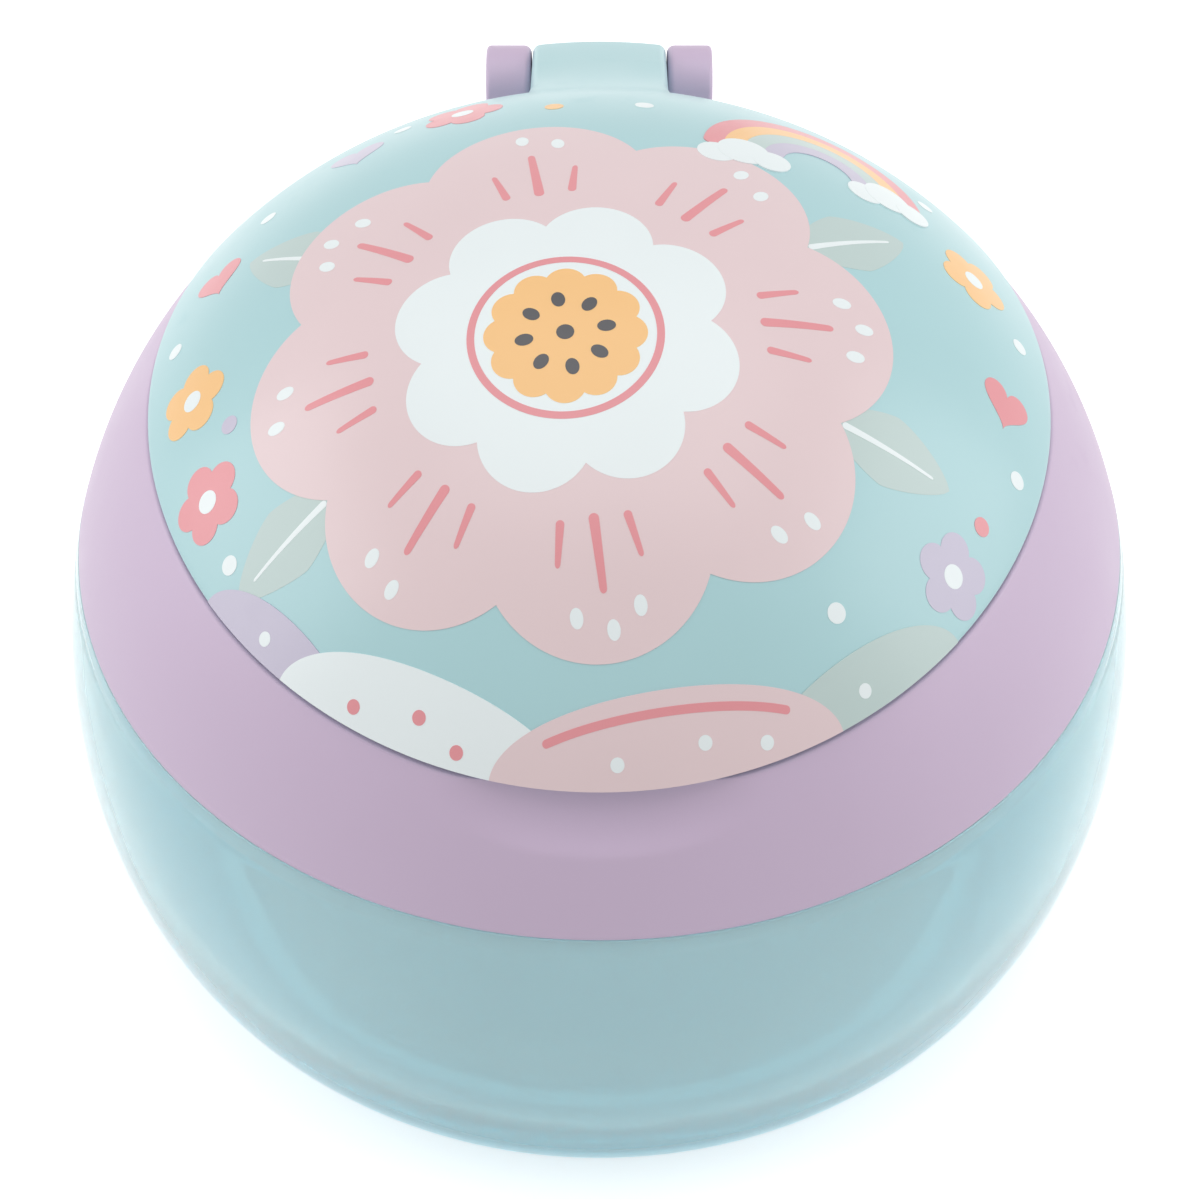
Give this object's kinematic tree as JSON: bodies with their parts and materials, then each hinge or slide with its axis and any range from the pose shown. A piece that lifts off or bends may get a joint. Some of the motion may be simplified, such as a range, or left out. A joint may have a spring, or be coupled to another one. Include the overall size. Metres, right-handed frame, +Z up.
{
  "type": "toddler snack container",
  "caption": "Round snack cup for toddlers: see-through bowl, screw-on collar, soft insert with flaps to reach through, and a domed lid that flips up on a pin hinge.",
  "frame": {"origin": "middle of the bowl's foot, on the surface that the cup stands on", "axes": "+Z up along the axis of the bowl, -Y towards the lid's front edge, +Y towards the hinge"},
  "size_m": [0.108, 0.108, 0.082],
  "materials": {
    "clear_blue": "glossy translucent",
    "soft_lilac": "soft matte",
    "lilac_plastic": "satin",
    "steel": "satin",
    "blue_plastic": "glossy"
  },
  "bodies": {
    "bowl": {"bowl": "clear_blue"},
    "insert": {"flap_ring": "soft_lilac"},
    "flap_1": {"flap_1": "soft_lilac"},
    "flap_2": {"flap_2": "soft_lilac"},
    "flap_3": {"flap_3": "soft_lilac"},
    "flap_4": {"flap_4": "soft_lilac"},
    "flap_5": {"flap_5": "soft_lilac"},
    "flap_6": {"flap_6": "soft_lilac"},
    "flap_7": {"flap_7": "soft_lilac"},
    "flap_8": {"flap_8": "soft_lilac"},
    "collar": {"collar": "lilac_plastic", "hinge_pin": "steel"},
    "lid": {"lid": "blue_plastic"}
  },
  "joints": [
    {"name": "top_lift", "type": "slide", "parent": "bowl", "child": "insert", "axis": [0, 0, 1], "range_m": [0, 0.04]},
    {"name": "collar_twist", "type": "hinge", "parent": "insert", "child": "collar", "pos_m": [0, 0, 0.0539], "axis": [0, 0, 1], "range_deg": [0, 120]},
    {"name": "lid_flip", "type": "hinge", "parent": "collar", "child": "lid", "pos_m": [0, 0.0498, 0.0592], "axis": [-1, 0, 0], "range_deg": [0, 130]},
    {"name": "flap_1_bend", "type": "hinge", "parent": "insert", "child": "flap_1", "pos_m": [0.02907, 0.01204, 0.05305], "axis": [0.3827, -0.9239, 0], "range_deg": [0, 60], "stiffness_Nm_per_rad": 0.01},
    {"name": "flap_2_bend", "type": "hinge", "parent": "insert", "child": "flap_2", "pos_m": [0.01204, 0.02907, 0.05305], "axis": [0.9239, -0.3827, 0], "range_deg": [0, 60], "stiffness_Nm_per_rad": 0.01},
    {"name": "flap_3_bend", "type": "hinge", "parent": "insert", "child": "flap_3", "pos_m": [-0.01204, 0.02907, 0.05305], "axis": [0.9239, 0.3827, 0], "range_deg": [0, 60], "stiffness_Nm_per_rad": 0.01},
    {"name": "flap_4_bend", "type": "hinge", "parent": "insert", "child": "flap_4", "pos_m": [-0.02907, 0.01204, 0.05305], "axis": [0.3827, 0.9239, 0], "range_deg": [0, 60], "stiffness_Nm_per_rad": 0.01},
    {"name": "flap_5_bend", "type": "hinge", "parent": "insert", "child": "flap_5", "pos_m": [-0.02907, -0.01204, 0.05305], "axis": [-0.3827, 0.9239, 0], "range_deg": [0, 60], "stiffness_Nm_per_rad": 0.01},
    {"name": "flap_6_bend", "type": "hinge", "parent": "insert", "child": "flap_6", "pos_m": [-0.01204, -0.02907, 0.05305], "axis": [-0.9239, 0.3827, 0], "range_deg": [0, 60], "stiffness_Nm_per_rad": 0.01},
    {"name": "flap_7_bend", "type": "hinge", "parent": "insert", "child": "flap_7", "pos_m": [0.01204, -0.02907, 0.05305], "axis": [-0.9239, -0.3827, 0], "range_deg": [0, 60], "stiffness_Nm_per_rad": 0.01},
    {"name": "flap_8_bend", "type": "hinge", "parent": "insert", "child": "flap_8", "pos_m": [0.02907, -0.01204, 0.05305], "axis": [-0.3827, -0.9239, 0], "range_deg": [0, 60], "stiffness_Nm_per_rad": 0.01}
  ]
}
